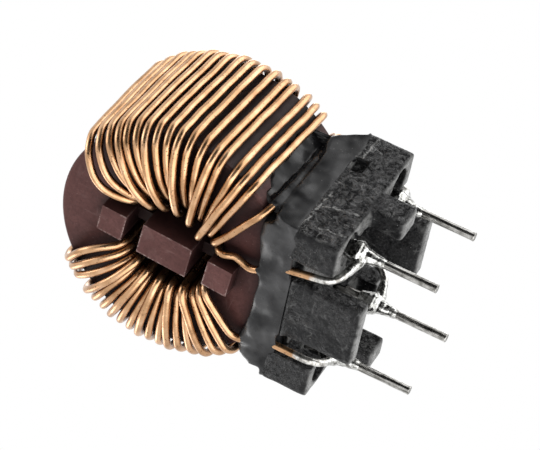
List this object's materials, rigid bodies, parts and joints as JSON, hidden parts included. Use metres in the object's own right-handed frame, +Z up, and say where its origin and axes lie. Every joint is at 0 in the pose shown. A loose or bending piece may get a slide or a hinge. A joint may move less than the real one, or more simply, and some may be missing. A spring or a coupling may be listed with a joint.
{
  "type": "toroidal inductor",
  "caption": "Common-mode toroidal inductor: copper windings on a cased ring core with a hooked separator, potted on a black moulded header with solder pins.",
  "frame": {"origin": "centre of the four-pin pattern on the seating plane, under the feet of the header's four posts", "axes": "+Z up from the circuit board towards the ring, with the pins pointing along -Z. The ring's axis lies along Y, and the hooked side of the separator faces -Y. +X is the side of the right-hand winding."},
  "size_m": [0.0314, 0.0222, 0.044],
  "materials": {
    "ferrite": "sintered, dark grey, slightly glossy",
    "case_plastic": "red-brown moulded plastic, satin, finely scuffed on its edges",
    "enamelled_copper": "copper under clear amber enamel, glossy",
    "header_plastic": "black moulded plastic, satin, scratched, with greyed edges",
    "potting_resin": "black cast resin, glossy, with a slightly uneven skin",
    "tinned_pin": "tin-plated wire, bright, lightly drawn along its length, cut square",
    "solder": "solidified solder, bright, with frosted patches"
  },
  "bodies": {
    "root": {"core": "ferrite", "case_cup": "case_plastic", "case_lid": "case_plastic", "separator": "case_plastic", "winding_right": "enamelled_copper", "winding_left": "enamelled_copper", "header": "header_plastic", "potting": "potting_resin", "pin_front_right": "tinned_pin", "pin_front_left": "tinned_pin", "pin_back_right": "tinned_pin", "pin_back_left": "tinned_pin", "solder_front_right": "solder", "solder_front_left": "solder", "solder_back_right": "solder", "solder_back_left": "solder"}
  },
  "joints": []
}
